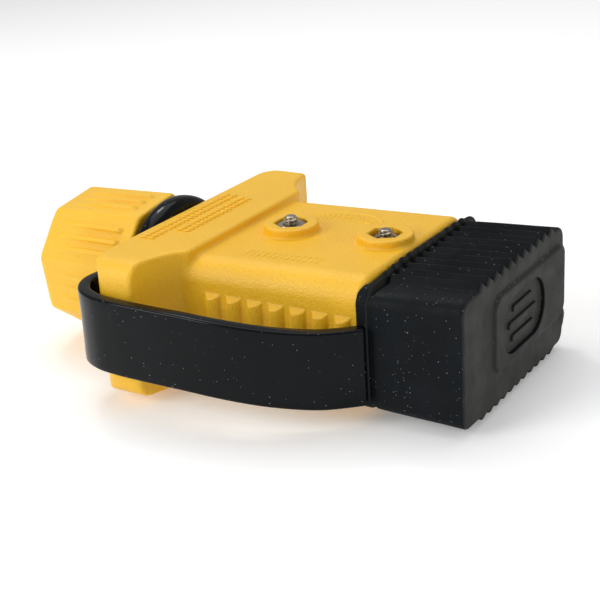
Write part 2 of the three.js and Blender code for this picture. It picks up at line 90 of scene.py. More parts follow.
RECESS.bars = ((3.9, 4.6), (1.2, 6.6), (-1.5, 5.2))  # level and half length of each
COLLAR = Sizes(inner=11.7, outer=16.6, back=-13.8, front=-8.8)
O_RING = Sizes(major=12.1, minor=0.55, x=-5.6)
GLAND_NUT = Sizes(front=-14.5, back=-37.5, dome=-41.5, front_radius=16.6, back_radius=15.7, dome_radius=10.8,
                  corner=1.2, shoulder_corner=1.6, dome_corner=2.6, bore=11.65, bore_end=-33.5,
                  ring_seat=9.9, ring_seat_end=-36.3, exit=7.4, edge=0.7, turn=75.0)
NUT_RIB = Sizes(spacing=2.9, half_width=0.42, flank=0.28, height=0.72, clear_of_front=3.2, back=-35.0,
                fade=10.0, inner_radius=13.0)
STRAP = Sizes(thickness=2.6, width=15.6, edge=0.5, drop=2.0, drop_start=12.0, drop_end=46.0)
STRAP_ROUTE = [
    (47.4, -23.3), (46.6, -24.0), (44.2, -26.1), (41.0, -28.6), (36.0, -31.1), (30.0, -33.3),
    (22.0, -35.0), (13.5, -35.6), (5.0, -35.6), (-1.0, -35.4), (-6.2, -34.6), (-10.6, -32.2),
    (-13.0, -28.4), (-13.2, -24.8), (-12.0, -20.8), (-11.4, -17.5), (-11.3, -15.5), (-11.3, -13.4),
]

# ---------------- camera
CAMERA = Sizes(azimuth=32.78, elevation=21.68, roll=-3.48, lens=83.67,
               place=(164.78, -226.79, 120.05), shift=(0.00395, -0.0027))


def place_camera():
    data = bpy.data.cameras.new("camera")
    data.lens = CAMERA.lens
    data.shift_x, data.shift_y = CAMERA.shift
    data.clip_start = 0.01
    data.clip_end = 20.0
    camera = bpy.data.objects.new("camera", data)
    turns = ((CAMERA.azimuth, "Z"), (90 - CAMERA.elevation, "X"), (CAMERA.roll, "Z"))
    camera.matrix_world = Matrix.Translation(Vector(CAMERA.place) * MM)
    for degrees, axis in turns:
        camera.matrix_world @= Matrix.Rotation(math.radians(degrees), 4, axis)
    bpy.context.scene.collection.objects.link(camera)
    bpy.context.scene.camera = camera


place_camera()


# ---------------- meshes
def mesh_object(name, points, face_sets, normals=None):
    """An object from points in millimetres and arrays of faces, each array with its own corner count."""
    mesh = bpy.data.meshes.new(name)
    corners = np.concatenate([np.asarray(faces).ravel() for faces in face_sets]).astype(np.int32)
    totals = np.concatenate([np.full(len(faces), faces.shape[1]) for faces in face_sets])
    starts = np.concatenate([[0], np.cumsum(totals)[:-1]]).astype(np.int32)
    mesh.vertices.add(len(points))
    mesh.vertices.foreach_set("co", (np.asarray(points) * MM).astype(np.float32).ravel())
    mesh.loops.add(len(corners))
    mesh.loops.foreach_set("vertex_index", corners)
    mesh.polygons.add(len(starts))
    mesh.polygons.foreach_set("loop_start", starts)
    mesh.update(calc_edges=True)
    mesh.shade_smooth()
    if normals is not None:
        mesh.normals_split_custom_set_from_vertices(np.asarray(normals, np.float32))
    made = bpy.data.objects.new(name, mesh)
    bpy.context.scene.collection.objects.link(made)
    return made


def grid_faces(rows, columns, wrap_rows=False, first=0):
    """Quads of a grid of points whose columns always wrap round; rows wrap too if asked."""
    row = np.arange(rows if wrap_rows else rows - 1)
    r, c = np.meshgrid(row, np.arange(columns), indexing="ij")
    r_next, c_next = (r + 1) % rows, (c + 1) % columns
    here, ahead = r * columns, r_next * columns
    quads = np.stack([here + c, here + c_next, ahead + c_next, ahead + c], -1)
    return quads.reshape(-1, 4) + first


def fan(centre, first, columns, flip=False):
    """Triangles from a centre point to a ring of points."""
    c = np.arange(columns)
    ring, following = first + c, first + (c + 1) % columns
    order = (following, ring) if flip else (ring, following)
    return np.stack([np.full(columns, centre), *order], -1)


def full_turn(count):
    return np.linspace(0, 2 * math.pi, count, endpoint=False)


def level_ring(x, reach, angle, z):
    """A ring of points at one height round an upright axis at x."""
    return np.stack([x + reach * np.cos(angle), reach * np.sin(angle), np.full(len(angle), z)], -1)


def curve(start, control, end, steps):
    """Points along a curve that leaves start and reaches end in the direction of control."""
    t = np.linspace(0, 1, steps)[:, None]
    start, control, end = map(np.asarray, (start, control, end))
    return (1 - t) ** 2 * start + 2 * t * (1 - t) * control + t ** 2 * end


def rounded_profile(corners, radius, steps=5):
    """A closed profile of (radius, x) corners, each of them rounded."""
    corners = np.asarray(corners, float)
    out = []
    for i, corner in enumerate(corners):
        before, after = corners[i - 1] - corner, corners[(i + 1) % len(corners)] - corner
        start = corner + before / np.linalg.norm(before) * radius
        end = corner + after / np.linalg.norm(after) * radius
        out.append(curve(start, corner, end, steps))
    return np.concatenate(out)


def outward(points, faces):
    """The same faces, turned round if they enclose a negative volume."""
    a, b, c = points[faces[:, 0]], points[faces[:, 1]], points[faces[:, 2]]
    volume = np.einsum("ij,ij->", a, np.cross(b, c))
    if faces.shape[1] == 4:
        d = points[faces[:, 3]]
        volume += np.einsum("ij,ij->", a, np.cross(c, d))
    return faces if volume > 0 else faces[:, ::-1]


def closed_rings(name, rings):
    """A mesh through rings of points that come back to the first ring."""
    points = np.concatenate(rings)
    faces = grid_faces(len(rings), len(rings[0]), wrap_rows=True)
    return mesh_object(name, points, [outward(points, faces)])


def capped_tubes(name, tubes):
    """One mesh of tubes, each given as its rings of points and the two points that close its ends."""
    points, quads, triangles = [], [], []
    for rings, tips in tubes:
        first, columns = sum(len(p) for p in points), len(rings[0])
        centres = first + len(rings) * columns
        points += [*rings, tips]
        quads.append(grid_faces(len(rings), columns, first=first))
        triangles.append(fan(centres, first, columns, flip=True))
        triangles.append(fan(centres + 1, centres - columns, columns))
    points = np.concatenate(points)
    quads, triangles = np.concatenate(quads), np.concatenate(triangles)
    if outward(points, quads) is not quads:
        quads, triangles = quads[:, ::-1], triangles[:, ::-1]
    return mesh_object(name, points, [quads, triangles])


def turned(name, profile, segments=96):
    """A closed profile of (radius, x) points turned about the plug's axis."""
    angle = full_turn(segments)
    return closed_rings(name, [np.stack([np.full(segments, x), radius * np.cos(angle),
                                         MID_Z + radius * np.sin(angle)], -1) for radius, x in profile])


# ---------------- distance fields, negative inside
def round_max(a, b, radius):
    """Where two solids meet in an outside edge of this radius."""
    over = np.hypot(np.maximum(a + radius, 0), np.maximum(b + radius, 0))
    return np.minimum(np.maximum(a, b) + radius, 0) + over - radius


def round_min(a, b, radius):
    """Two solids joined with a fillet of this radius."""
    return -round_max(-a, -b, radius)


def union(*solids):
    return functools.reduce(np.minimum, solids)


def rounded_box(u, v, half_u, half_v, radius):
    """A rectangle with rounded corners."""
    du, dv = np.abs(u) - half_u + radius, np.abs(v) - half_v + radius
    return np.hypot(np.maximum(du, 0), np.maximum(dv, 0)) + np.minimum(np.maximum(du, dv), 0) - radius


def polygon(points, u, v):
    """Distance to a closed outline."""
    nearest = np.float64(1e9)
    inside = np.zeros(np.broadcast(u, v).shape, bool)
    for (u0, v0), (u1, v1) in zip(points, np.roll(points, -1, axis=0)):
        eu, ev = u1 - u0, v1 - v0
        t = np.clip(((u - u0) * eu + (v - v0) * ev) / (eu * eu + ev * ev), 0, 1)
        nearest = np.minimum(nearest, (u - u0 - t * eu) ** 2 + (v - v0 - t * ev) ** 2)
        if v0 != v1:
            inside ^= ((v0 > v) != (v1 > v)) & (u < eu * (v - v0) / ev + u0)
    return np.where(inside, -1, 1) * np.sqrt(nearest)


def hexagon(u, v, across_flats):
    """A hexagon with corners along v."""
    return np.maximum(np.abs(u), np.abs(u) / 2 + np.abs(v) * math.sqrt(0.75)) - across_flats / 2


def from_crests(along, ribs):
    """Distances along a row of ribs from the nearest crest and its two neighbours."""
    last = ribs.count - 1
    nearest = np.clip(np.round((along - ribs.first) / ribs.pitch), 0, last)
    return [along - ribs.first - ribs.pitch * np.clip(nearest + step, 0, last) for step in (-1, 0, 1)]


def gradient(field, points, step):
    """The field's slope at each point, along x, y and z."""
    rows = []
    for offset in np.eye(3) * step:
        rows.append((field(*(points + offset).T) - field(*(points - offset).T)) / (2 * step))
    return np.stack(rows, -1)


def corner_slices(shape):
    for corner in np.ndindex(2, 2, 2):
        yield tuple(slice(c, n - 1 + c) for c, n in zip(corner, shape))


def cell_points(values, cells):
    """In each cell that the surface crosses, the middle of its crossings of the cell's edges."""
    corners = np.array(list(np.ndindex(2, 2, 2)))
    at = np.stack([values[tuple((cells + c).T)] for c in corners], -1)
    total, crossings = np.zeros((len(cells), 3)), np.zeros(len(cells))
    for a, axis in np.ndindex(8, 3):
        if corners[a][axis]:
            continue
        b = a + (4, 2, 1)[axis]
        crossing = (at[:, a] < 0) != (at[:, b] < 0)
        share = np.where(crossing, at[:, a] / (at[:, a] - at[:, b] + 1e-30), 0)
        spot = np.repeat(corners[a][None].astype(float), len(cells), 0)
        spot[:, axis] += share
        total += spot * crossing[:, None]
        crossings += crossing
    return cells + total / crossings[:, None]


def cell_quads(inside, number):
    """A quad for each grid edge that the surface crosses, between the four cells round that edge."""
    shape = inside.shape
    quads = []
    for axis in range(3):
        b, c = (axis + 1) % 3, (axis + 2) % 3
        ahead = np.take(inside, range(1, shape[axis]), axis)
        here = np.take(inside, range(shape[axis] - 1), axis)
        edge = np.stack(np.nonzero(here != ahead), -1)
        inner = (edge[:, b] > 0) & (edge[:, b] < shape[b] - 1)
        inner &= (edge[:, c] > 0) & (edge[:, c] < shape[c] - 1)
        edge = edge[inner]
        ring = []
        for db, dc in ((-1, -1), (0, -1), (0, 0), (-1, 0)):
            cell = edge.copy()
            cell[:, b] += db
            cell[:, c] += dc
            ring.append(number[tuple(cell.T)])
        ring = np.stack(ring, -1)
        starts_inside = inside[tuple(edge.T)]
        quads.append(np.where(starts_inside[:, None], ring, ring[:, ::-1]))
    return np.concatenate(quads)


def skin(name, field, low, high, step):
    """The field's zero surface as a quad mesh, with its points and normals settled on the true surface."""
    axes = [np.arange(a - step * 1.37, b + step * 2, step) for a, b in zip(low, high)]
    values = np.empty(tuple(len(axis) for axis in axes), np.float32)
    values[...] = field(axes[0][:, None, None], axes[1][None, :, None], axes[2][None, None, :])
    inside = values < 0
    filled = sum(inside[part].astype(np.uint8) for part in corner_slices(values.shape))
    active = (filled > 0) & (filled < 8)
    cells = np.stack(np.nonzero(active), -1)
    number = np.full(active.shape, -1, np.int32)
    number[active] = np.arange(len(cells), dtype=np.int32)
    origin = np.array([axis[0] for axis in axes])
    points = origin + cell_points(values, cells) * step
    for _ in range(2):
        slope = gradient(field, points, 0.01)
        steep = np.maximum((slope ** 2).sum(-1), 0.25)
        move = slope * (field(*points.T) / steep)[:, None]
        length = np.linalg.norm(move, axis=-1, keepdims=True)
        points = points - move * np.minimum(1, 0.6 * step / np.maximum(length, 1e-9))
    normals = gradient(field, points, 0.06)
    normals /= np.maximum(np.linalg.norm(normals, axis=-1, keepdims=True), 1e-9)
    return mesh_object(name, points, [cell_quads(inside, number)], normals)


# ---------------- yellow shells
def wing_half_outline():
    """Half of the pull wing from above, from the middle to one end, with its finger scoop."""
    end, back, front = WING.half_length, WING.back, WING.front
    lip, start, r = WING.end_front, WING.scoop_start, WING.back_radius
    turn = np.radians(np.linspace(180, 90, 9))
    back_corner = np.stack([back + r + r * np.cos(turn), end - r + r * np.sin(turn)], -1)
    parts = [
        np.array([(front, -40.0), (back, -40.0)]),
        back_corner,
        curve((lip - 2.0, end), (lip, end), (lip, end - 2.0), 6),
        curve((lip, end - 2.2), (lip + 1.2, start + 3.5), (front - 0.6, start + 0.45), 12),
        curve((front - 0.55, start + 0.4), (front, start), (front, start - 0.9), 5),
    ]
    return np.concatenate(parts)


WING_OUTLINE = wing_half_outline()


def body_top(x):
    """Height of the body's top over the axis; it rises from the wing to the cap."""
    return BODY.half_height + BODY.front_rise * np.clip(x / BODY.front, 0, 1)


def grip_ribs(x, proud):
    """Ribs with a steep back, a narrow crest and a rounded front; proud is the height over the side."""
    radius = (GRIP.fall ** 2 + GRIP.proud ** 2) / (2 * GRIP.proud)
    ribs = []
    for along in from_crests(x, GRIP):
        back = (GRIP.rise * proud - GRIP.proud * (along + GRIP.rise)) / math.hypot(GRIP.rise, GRIP.proud)
        front = np.hypot(np.maximum(along - GRIP.flat, 0), proud - GRIP.proud + radius) - radius
        ribs.append(round_max(back, front, 0.12))
    return union(*ribs)


def housing_outside(x, y, z):
    """The two shells together: the body with its grip ribs, the pull wing and the bosses."""
    side, level = np.abs(y), z - MID_Z
    height = np.abs(level)
    half_height = np.where(level > 0, body_top(x), BODY.half_height)
    section = rounded_box(y, level, BODY.half_width, half_height, BODY.edge_radius)
    block = round_max(section, x - BODY.front, BODY.fold)
    block = np.maximum(block, -x)

    proud = side - BODY.half_width
    ribs = grip_ribs(x, proud)
    sloped_end = (height - GRIP.half_height + 0.85 * np.maximum(proud, -0.5)) * 0.76
    ribs = np.maximum(round_max(ribs, sloped_end, 0.12), -proud - 1.5)
    block = round_min(block, ribs, 0.12)

    outline = polygon(WING_OUTLINE, x, side)
    wing = round_max(outline, height - WING.half_height, WING.edge_radius)
    end_radius = np.where(y > 0, WING.far_end_radius, WING.near_end_radius)
    ends = rounded_box(y, level, WING.half_length, WING.half_height, end_radius)
    wing = round_max(wing, ends, 0.8)
    whole = round_min(block, wing, 0.7)

    for boss_x, top in BOSSES.values():
        post = round_max(np.hypot(x - boss_x, y) - BOSS_RADIUS, np.maximum(z - top, -z), 0.45)
        whole = round_min(whole, post, 0.5)
    return whole


def housing_inside(x, y, z):
    """The seat of the connector housing, the space for the splices, and the gland's stepped seat."""
    level, radial = z - MID_Z, np.hypot(y, z - MID_Z)
    seat = rounded_box(y, level, SEAT.half_width, SEAT.half_height, SEAT.radius)
    seat = np.maximum(seat, SEAT.rear - x)
    splice = rounded_box(y, level, SPLICE.half_width, SPLICE.half_height, SPLICE.radius)
    splice = np.maximum(splice, np.maximum(SPLICE.rear - x, x - SEAT.rear - SPLICE.overlap))
    claw = np.maximum(radial - CLAW_SPACE.radius, np.abs(x - CLAW_SPACE.x) - CLAW_SPACE.half_length)
    half_width = FLANGE_SPACE.half_width
    flange = rounded_box(y, level, half_width, half_width, FLANGE_SPACE.radius)
    flange = np.maximum(flange, np.abs(x - FLANGE_SPACE.x) - FLANGE_SPACE.half_length)
    neck = np.maximum(radial - NECK_BORE.radius, x - NECK_BORE.front)
    return union(seat, splice, claw, flange, neck)


def fastener_holes(x, y, z):
    """Under each boss: the screw's hole, the wide bore for its head and the pocket for its nut."""
    holes = []
    for boss_x, _ in BOSSES.values():
        radial = np.hypot(x - boss_x, y)
        holes.append(radial - FASTENER.hole + 0 * z)
        holes.append(np.maximum(radial - FASTENER.head_bore, z - FASTENER.head_bore_top))
        holes.append(np.maximum(hexagon(x - boss_x, y, FASTENER.pocket_flats), NUT.pocket_z - z))
    return union(*holes)


def shell(top):
    """One half of the housing, as far as the parting plane."""

    def field(x, y, z):
        solid = round_max(housing_outside(x, y, z), -housing_inside(x, y, z), MOULD_EDGE)
        solid = round_max(solid, -fastener_holes(x, y, z), MOULD_EDGE)
        face = (MID_Z + HALF_PARTING_GAP - z) if top else (z - MID_Z + HALF_PARTING_GAP)
        return round_max(solid, face, MOULD_EDGE)

    low = (WING.back, -WING.half_length, MID_Z if top else 0.0)
    high = (BODY.front, WING.half_length, BOSSES["front"][1] if top else MID_Z)
    return skin("shell_top" if top else "shell_bottom", field, low, high, SHELL_STEP)


# ---------------- dust cap
CAP_MIDDLE = (CAP.near_y + CAP.far_y) / 2
CAP_HALF_WIDTH = (CAP.far_y - CAP.near_y) / 2


def cap_teeth(y, over_face, height):
    """Ridges along a face of the cap, steep towards the strap and gentle away from it."""
    steep, gentle = CAP_RIB.steep, CAP_RIB.pitch - CAP_RIB.steep
    teeth = []
    for along in from_crests(y, CAP_RIB):
        near = (steep * over_face - height * (along + steep)) / math.hypot(steep, height)
        far = (gentle * over_face + height * (along - gentle)) / math.hypot(gentle, height)
        teeth.append(round_max(near, far, CAP_RIB.tip))
    return np.maximum(union(*teeth), -over_face - CAP_RIB.root)


def cap_level(x, z):
    """Height over the cap's middle plane, less what the cap gains from its groove to its end."""
    level = z - MID_Z
    share = np.clip((x - CAP.groove_end) / (CAP.end - CAP.groove_end), 0, 1)
    gain = np.where(level > 0, CAP.end_rise, -CAP.end_drop) * share
    return level - gain * np.clip(np.abs(level) / CAP.half_height, 0, 1)


def cap_block(x, y, level, plain):
    """The toothed block, drawn in between two finger ridges on its far side."""
    top = cap_teeth(y, level - CAP.half_height, CAP_RIB.top)
    bottom = cap_teeth(y, -level - CAP.half_height, CAP_RIB.bottom)
    past_side = y - CAP_MIDDLE - CAP_HALF_WIDTH
    radius = CAP_SIDE.hollow_radius
    hollow = np.hypot(past_side - radius + CAP_SIDE.hollow_depth, level - CAP_SIDE.hollow_z) - radius
    section = round_max(union(plain, top, bottom), -hollow, 0.4)
    block = round_max(section, x - CAP.end, 0.75)
    block = round_max(block, CAP.groove_end - x, 0.3)
    for ridge_level in CAP_SIDE.ridge_levels:
        ridge = np.hypot(past_side + 0.1, (level - ridge_level) * 0.75) - CAP_SIDE.ridge_radius
        ridge = round_max(ridge, np.abs(x - CAP_SIDE.ridge_x) - CAP_SIDE.ridge_half_length, 0.9)
        block = round_min(block, ridge, 0.8)
    return block


def cap_lip(x, y, z, level, strap_side):
    """The lip round the cap's mouth: crowned, with a bump at each tooth, and gone along its bottom."""
    across = y - CAP_MIDDLE
    crown = CAP.crown * np.clip(1 - (across / CAP_HALF_WIDTH) ** 2, 0, 1)
    half_height = CAP.half_height + crown / 2
    rim = rounded_box(across, level - crown / 2, CAP_HALF_WIDTH, half_height, CAP.radius)
    rim = rim - CAP.lip_proud * np.clip((level + 12.5) / 5, 0, 1) * (1 - 0.7 * strap_side)
    # on the strap's side it reaches back over the body's rounded edge and side
    reach = CAP.lip_reach * np.clip((-18.5 - y) / 3.0, 0, 1)
    lip = round_max(rim, CAP.rim - reach - x, 0.5)
    lip = np.maximum(lip, 0.06 - housing_outside(x, y, z))
    lip = round_max(lip, x - CAP.lip_end, 0.5)
    from_tooth = from_crests(y, CAP_RIB)[1]
    tooth = (y - from_tooth - CAP_RIB.first) / CAP_RIB.pitch
    bump_level = LIP_BUMP.level + crown + LIP_BUMP.uneven * np.sin(7.1 * tooth)
    upright = ((x - LIP_BUMP.x) ** 2 + (level - bump_level) ** 2) / LIP_BUMP.half_height ** 2
    bump = np.sqrt((from_tooth / LIP_BUMP.half_width) ** 2 + upright) - 1
    return round_min(lip, bump * 0.7, 0.25)


def pull_pad(x, y, level):
    pad = rounded_box(y - (PAD.near_y + PAD.far_y) / 2, level - PAD.z,
                      (PAD.far_y - PAD.near_y) / 2, PAD.half_height, PAD.radius)
    pad = round_max(pad, x - CAP.end - PAD.proud, 0.6)
    return np.maximum(pad, CAP.end - 1 - x)


def barred_recess(x, y, level):
    """A recess with round ends in the pull pad, less the plain bars that stand in it."""
    recess = rounded_box(y - RECESS.y, level - RECESS.z,
                         RECESS.half_width, RECESS.half_height, RECESS.radius)
    floor_x = CAP.end + PAD.proud - RECESS.depth
    recess = np.maximum(recess, floor_x - x)
    bars = union(*[rounded_box(y - RECESS.y, level - bar_level, half_length,
                               RECESS.bar_half_height, RECESS.bar_radius)
                   for bar_level, half_length in RECESS.bars])
    bars = round_max(bars, x - floor_x - RECESS.bar_proud, 0.25)
    return round_max(recess, -bars, 0.2)


def cap_field(x, y, z):
    level = cap_level(x, z)
    plain = rounded_box(y - CAP_MIDDLE, level, CAP_HALF_WIDTH, CAP.half_height, CAP.radius)
    block = cap_block(x, y, level, plain)
    # the groove and the lip fade out on the strap's side
    strap_side = np.clip((-20.0 - y) / 2.0, 0, 1)
    neck = plain + CAP.groove_depth * (0.6 - 0.5 * strap_side)
    neck = np.maximum(neck, np.abs(x - CAP.groove_x) - CAP.groove_half_width)
    block = union(block, neck, cap_lip(x, y, z, level, strap_side))
    block = round_min(block, pull_pad(x, y, level), 0.8)
    block = round_max(block, -barred_recess(x, y, level), 0.25)
    socket = rounded_box(y, level, SEAT.half_width, SEAT.half_height, SEAT.radius)
    block = round_max(block, -np.maximum(socket, x - CAP.cavity_end), 0.4)
    # soft rubber is never quite flat
    wave = np.sin(0.31 * x + 0.7) * np.sin(0.23 * y + 0.4) * np.sin(0.37 * z + 1.1)
    return block + 0.05 * wave


def dust_cap():
    low = (CAP.rim - 1.5, CAP.near_y - 1.0, 0.9)
    high = (CAP.end + 0.8, CAP.far_y + 1.6, 29.8)
    return skin("rubber_cap", cap_field, low, high, CAP_STEP)


# ---------------- strap and collar
def between(a, b, start, end, t):
    """From a at start to b at end, in proportion to t."""
    return a * (end - t) / (end - start) + b * (t - start) / (end - start)


def smooth_route(points, samples):
    """Points at even steps along a centripetal Catmull-Rom curve."""
    points = np.asarray(points, float)
    padded = np.vstack([2 * points[0] - points[1], points, 2 * points[-1] - points[-2]])
    fine = []
    for i in range(1, len(padded) - 2):
        p = padded[i - 1:i + 3]
        knots = np.concatenate([[0], np.cumsum(np.linalg.norm(np.diff(p, axis=0), axis=1) ** 0.5)])
        for t in np.linspace(knots[1], knots[2], 24, endpoint=False):
            near = [between(p[j], p[j + 1], knots[j], knots[j + 1], t) for j in range(3)]
            near = [between(near[j], near[j + 1], knots[j], knots[j + 2], t) for j in range(2)]
            fine.append(between(near[0], near[1], knots[1], knots[2], t))
    fine.append(padded[-2])
    fine = np.array(fine)
    along = np.concatenate([[0], np.cumsum(np.linalg.norm(np.diff(fine, axis=0), axis=1))])
    even = np.linspace(0, along[-1], samples)
    return np.stack([np.interp(even, along, fine[:, k]) for k in range(fine.shape[1])], -1)


def strap_section(steps=6):
    """Points round the strap's cross-section: (across its thickness, up its width)."""
    half_t, half_w, r = STRAP.thickness / 2, STRAP.width / 2, STRAP.edge
    out = []
    corners = ((1, 1, 0, 0), (-1, 1, 90, -1), (-1, -1, 180, 0), (1, -1, 270, 1))
    for side_t, side_w, start, face in corners:
        for turn in np.radians(np.linspace(start, start + 90, steps)):
            out.append((side_t * (half_t - r) + r * math.cos(turn),
                        side_w * (half_w - r) + r * math.sin(turn)))
        if face:  # the wide faces have points of their own, and are a touch hollow
            for share in np.linspace(-0.8, 0.8, 9):
                out.append((face * half_t * (0.95 + 0.05 * share ** 2), face * share * (half_w - r)))
    return np.array(out)


def cap_strap():
    """The strap's section swept along its route; it falls from the collar's level to the cap's."""
    path = smooth_route(STRAP_ROUTE, 260)
    tangent = np.gradient(path, axis=0)
    tangent /= np.linalg.norm(tangent, axis=1, keepdims=True)
    normal = np.stack([-tangent[:, 1], tangent[:, 0]], -1)
    section = strap_section()
    flat = path[:, None, :] + normal[:, None, :] * section[None, :, :1]
    share = np.clip((flat[..., 0] - STRAP.drop_start) / (STRAP.drop_end - STRAP.drop_start), 0, 1)
    height = MID_Z + section[None, :, 1] - STRAP.drop * share * share * (3 - 2 * share)
    rings = np.concatenate([flat, height[..., None]], -1)
    return capped_tubes("strap", [(rings, rings[[0, -1]].mean(1))])


def strap_collar():
    """A ring of squarish section round the gland's neck."""
    radial = (COLLAR.outer - COLLAR.inner) / 2
    axial = (COLLAR.front - COLLAR.back) / 2
    angle = full_turn(40)

    def squared(value):
        return np.sign(value) * np.abs(value) ** 0.8

    profile = np.stack([COLLAR.inner + radial * (1 + squared(np.cos(angle))),
                        COLLAR.back + axial * (1 + squared(np.sin(angle)))], -1)
    return turned("collar", profile, 120)


def o_ring():
    angle = full_turn(16)
    profile = np.stack([O_RING.major + O_RING.minor * np.cos(angle),
                        O_RING.x + O_RING.minor * np.sin(angle)], -1)
    return turned("gland_o_ring_seal", profile, 96)


def sleeve(name, inner, outer, back, front, corner):
    """A ring about the cable's axis with rounded corners."""
    profile = [(inner, back), (outer, back), (outer, front), (inner, front)]
    return turned(name, rounded_profile(profile, corner))


# ---------------- gland nut
def octagon_radius(angle, apothem, corner):
    """Distance from the axis to an octagon with rounded corners, at angles from a corner."""
    eighth = math.pi / 4
    from_corner = (angle + eighth / 2) % eighth - eighth / 2
    centre = (apothem - corner) / math.cos(eighth / 2)
    flat = apothem / np.cos(eighth / 2 - np.abs(from_corner))
    reach = corner ** 2 - (centre * np.sin(from_corner)) ** 2
    arc = centre * np.cos(from_corner) + np.sqrt(np.maximum(reach, 0))
    touch = math.atan2(corner * math.sin(eighth / 2), centre + corner * math.cos(eighth / 2))
    return np.where(np.abs(from_corner) < touch, arc, flat)


def quarter_round(x, radius, size, start):
    turn = np.radians(np.linspace(start, 90, 4))
    return np.stack([x + size * np.cos(turn), radius + size * np.sin(turn)], -1)


def nut_stations():
    """Places along the gland nut: x, radius to the corners, and corner radius, or None where it is round."""
    g = GLAND_NUT
    front, back, front_radius, back_radius = g.front, g.back, g.front_radius, g.back_radius
    share = np.linspace(0.02, 0.98, 54)
    barrel = np.stack([front - g.edge + share * (back + 1.2 - front),
                       front_radius + (back_radius - front_radius) * share], -1)
    shoulder = curve((back + 0.7, back_radius), (back - 0.4, back_radius - 0.1),
                     (back - 1.3, back_radius - 1.5), 7)
    dome = curve((back - 1.8, back_radius - 2.1), (g.dome + 0.5, g.dome_radius + 1.6),
                 (g.dome, g.dome_radius - 0.8), 8)
    inside = ((g.ring_seat_end, g.exit), (g.ring_seat_end, g.ring_seat), (g.bore_end, g.ring_seat),
              (g.bore_end, g.bore), (front - 0.5, g.bore))
    parts = (
        (((front, g.bore + 0.3), (front, front_radius - 0.8)), g.corner),
        (quarter_round(front - g.edge, front_radius - g.edge, g.edge, 20), g.corner),
        (barrel, g.corner),
        (shoulder, g.shoulder_corner),
        (dome, g.dome_corner),
        (((g.dome, g.exit + 1.0),), None),
        (quarter_round(g.dome + 0.6, g.exit + 0.6, -0.6, 0), None),
        (inside, None),
    )
    return [(x, radius, corner) for points, corner in parts for x, radius in points]


def with_wedge_ribs(points, angles):
    """Three ribs on each flat: wedges that are highest at the front and fade out towards the back."""
    for facet in range(8):
        middle = math.radians(45 * facet + 22.5)
        out = np.array([0, math.cos(middle), math.sin(middle)])
        along = np.array([0, -math.sin(middle), math.cos(middle)])
        mine = np.abs((angles - middle + math.pi) % (2 * math.pi) - math.pi) < math.radians(22.6)
        offset = points @ along
        for rib in (-1, 0, 1):
            across = np.abs(offset - rib * NUT_RIB.spacing)
            crest = np.clip((NUT_RIB.half_width + NUT_RIB.flank - across) / NUT_RIB.flank, 0, 1)
            share = np.clip((GLAND_NUT.front - NUT_RIB.clear_of_front - points[..., 0]) / 0.35, 0, 1)
            fade = np.clip((points[..., 0] - NUT_RIB.back) / NUT_RIB.fade, 0, 1)
            outside = np.linalg.norm(points[..., 1:], axis=-1) > NUT_RIB.inner_radius
            on_barrel = (points[..., 0] > GLAND_NUT.back + 1) & outside
            lift = NUT_RIB.height * crest * share * fade * mine[None, :] * on_barrel
            points = points + lift[..., None] * out
    return points


def gland_nut():
    """Eight rounded flats that narrow to a domed back, with three wedge ribs on each flat."""
    one_flat = np.concatenate([np.linspace(-22.5, -13.5, 10), np.linspace(-12.6, 12.6, 57),
                               np.linspace(13.5, 21.6, 10)])
    angles = np.radians(np.concatenate([one_flat + 45 * k + 22.5 for k in range(8)]))
    narrow = math.cos(math.pi / 8)
    rings = []
    for x, radius, corner in nut_stations():
        reach = radius if corner is None else octagon_radius(angles, radius * narrow, corner)
        rings.append(np.stack([np.full(len(angles), x), reach * np.cos(angles), reach * np.sin(angles)], -1))
    rings = with_wedge_ribs(np.array(rings), angles)
    # its first corner goes from +Y to where the CAD nut has it
    sine, cosine = math.sin(math.radians(GLAND_NUT.turn)), math.cos(math.radians(GLAND_NUT.turn))
    rings = rings @ np.array([[1, 0, 0], [0, cosine, sine], [0, -sine, cosine]]) + (0, 0, MID_Z)
    return closed_rings("gland_nut_yellow", rings)


# ---------------- fasteners
def hexagon_radius(angle, apothem):
    """Distance from the axis to a hexagon."""
    sixth = math.pi / 3
    return apothem / np.cos((angle + sixth / 2) % sixth - sixth / 2)


def screw_shank(x, angle):
    """Rings up a shank with a real helical thread, to a bevelled tip."""
    tip_z = SCREW.tip_z
    rings_per_turn = 8
    heights = np.arange(SCREW.head_z + SCREW.head_height - 0.4, tip_z - 0.25,
                        SCREW.pitch / rings_per_turn)
    phase = (heights[:, None] / SCREW.pitch - angle[None, :] / (2 * math.pi)) % 1
    crest = np.clip(1.1 - 2.4 * np.abs(phase - 0.5), 0, 1)
    radius = SCREW.root + (SCREW.radius - SCREW.root) * crest
    taper = np.clip((tip_z - heights) / 0.4, 0, 1)[:, None]
    radius = np.minimum(radius, SCREW.radius - 0.35 + 0.4 * taper)
    tip = ((1.1, tip_z - 0.1), (0.95, tip_z))
    return [level_ring(x, r, angle, h) for r, h in (*zip(radius, heights), *tip)]


def screw_head(x, angle):
    """Rings from a hexagon recess, over the pan head to its flat side."""
    top, bottom, radius = SCREW.head_z + SCREW.head_height, SCREW.head_z, SCREW.head_radius
    socket = hexagon_radius(angle, 1.0)
    rows = [(socket, bottom + 1.2), (socket, bottom + 0.15), (1.25, bottom)]
    for turn in np.radians(np.linspace(80, 0, 6)):
        rows.append((radius - 0.9 + 0.9 * math.cos(turn), bottom + 0.9 - 0.9 * math.sin(turn)))
    rows += [(radius, top - 0.15), (radius - 0.15, top), (0.6, top)]
    return [level_ring(x, r, angle, h) for r, h in rows]


